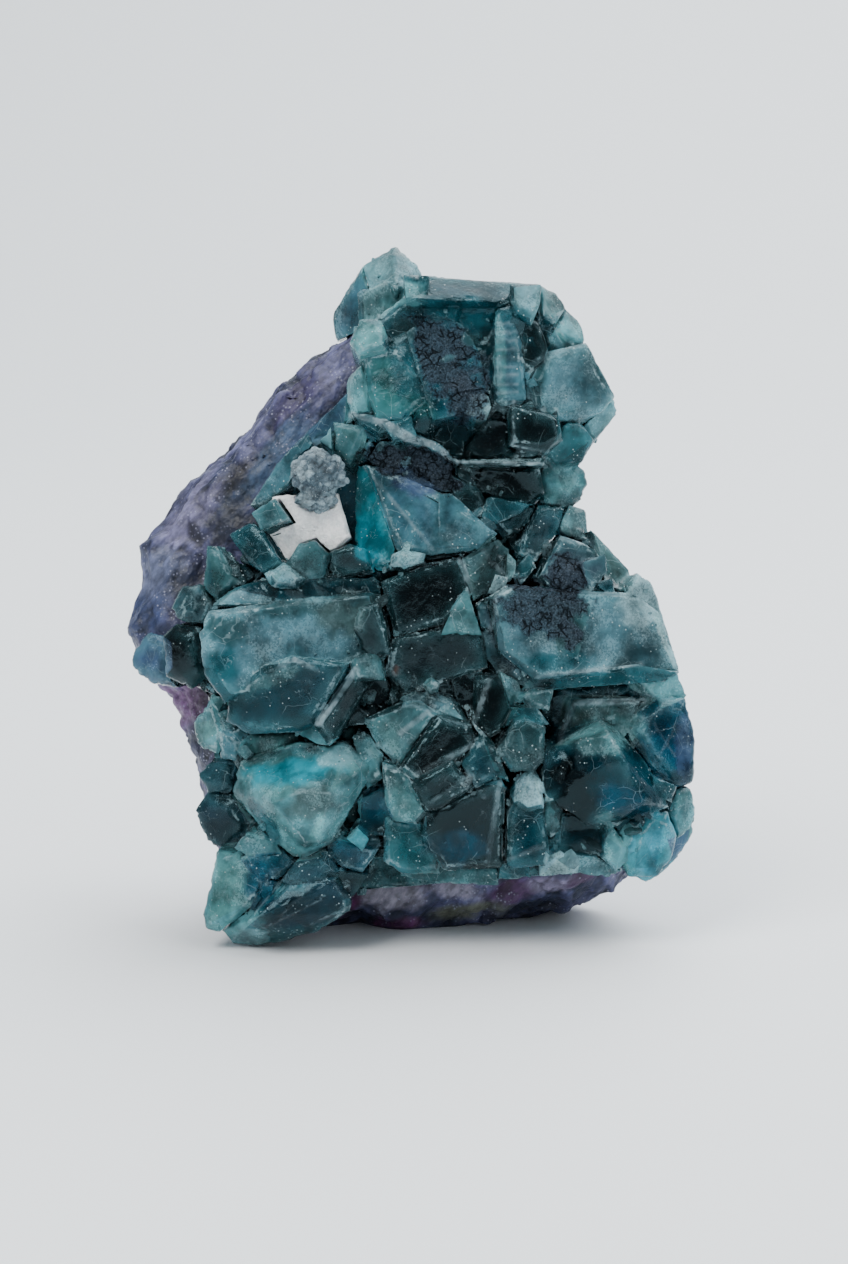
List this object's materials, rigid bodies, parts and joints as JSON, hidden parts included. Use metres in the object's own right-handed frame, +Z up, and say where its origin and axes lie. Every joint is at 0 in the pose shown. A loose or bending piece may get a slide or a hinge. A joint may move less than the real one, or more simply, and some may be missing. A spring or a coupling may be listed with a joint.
{
  "type": "fluorite specimen",
  "caption": "Mineral specimen: intergrown clear blue-green fluorite crystals on purple massive fluorite, with a white calcite patch and a grey drusy knob. Rests on a flat cut.",
  "frame": {"origin": "bottom centre of the whole specimen, on the plane of the flat cut that it rests on", "axes": "+Z up, -Y towards the viewer of the crystal face, +X to the viewer's right"},
  "size_m": [0.0978, 0.0588, 0.1169],
  "materials": {
    "blue_green_fluorite": "clear to cloudy blue-green crystal, glossy faces with etched and frosted patches",
    "purple_fluorite": "rough broken purple stone, slightly translucent",
    "white_calcite": "rough sugary white",
    "grey_druse": "grey, crusted with tiny sparkling crystals"
  },
  "bodies": {
    "root": {"crystal_cluster": "blue_green_fluorite", "matrix": "purple_fluorite", "white_calcite": "white_calcite", "drusy_knob": "grey_druse"}
  },
  "joints": []
}
